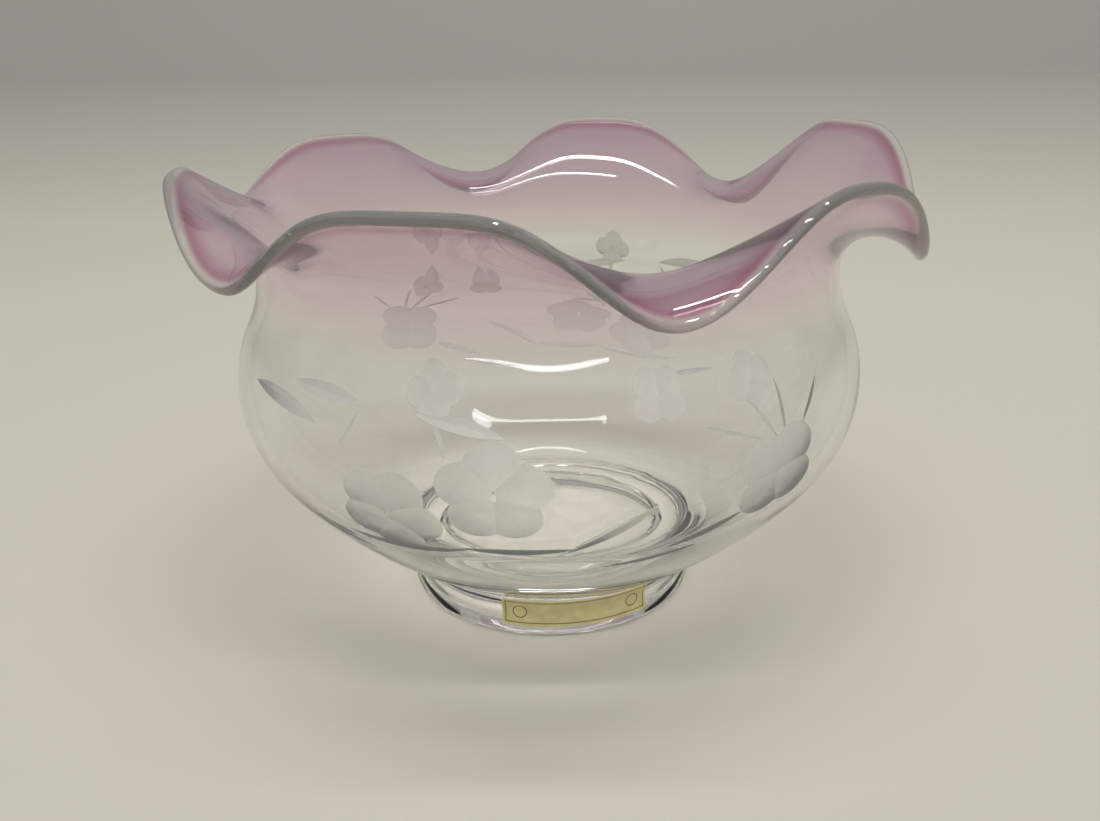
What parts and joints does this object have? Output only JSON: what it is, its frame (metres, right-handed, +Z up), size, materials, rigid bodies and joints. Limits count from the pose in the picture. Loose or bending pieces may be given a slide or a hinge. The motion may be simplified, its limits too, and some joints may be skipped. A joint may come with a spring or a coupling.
{
  "type": "crystal bowl",
  "caption": "Blown glass bowl with a ruffled, rose-tinted rim, wheel-cut flowers round the belly and a low ring foot.",
  "frame": {"origin": "centre of the foot's underside, at the table's height", "axes": "+Z up along the bowl's axis, -Y to the front, where the foil label is"},
  "size_m": [0.1807, 0.1831, 0.1173],
  "materials": {
    "glass": "polished, with matte wheel-cut decoration",
    "foil": "satin gold foil"
  },
  "bodies": {
    "root": {"bowl": "glass", "label": "foil"}
  },
  "joints": []
}
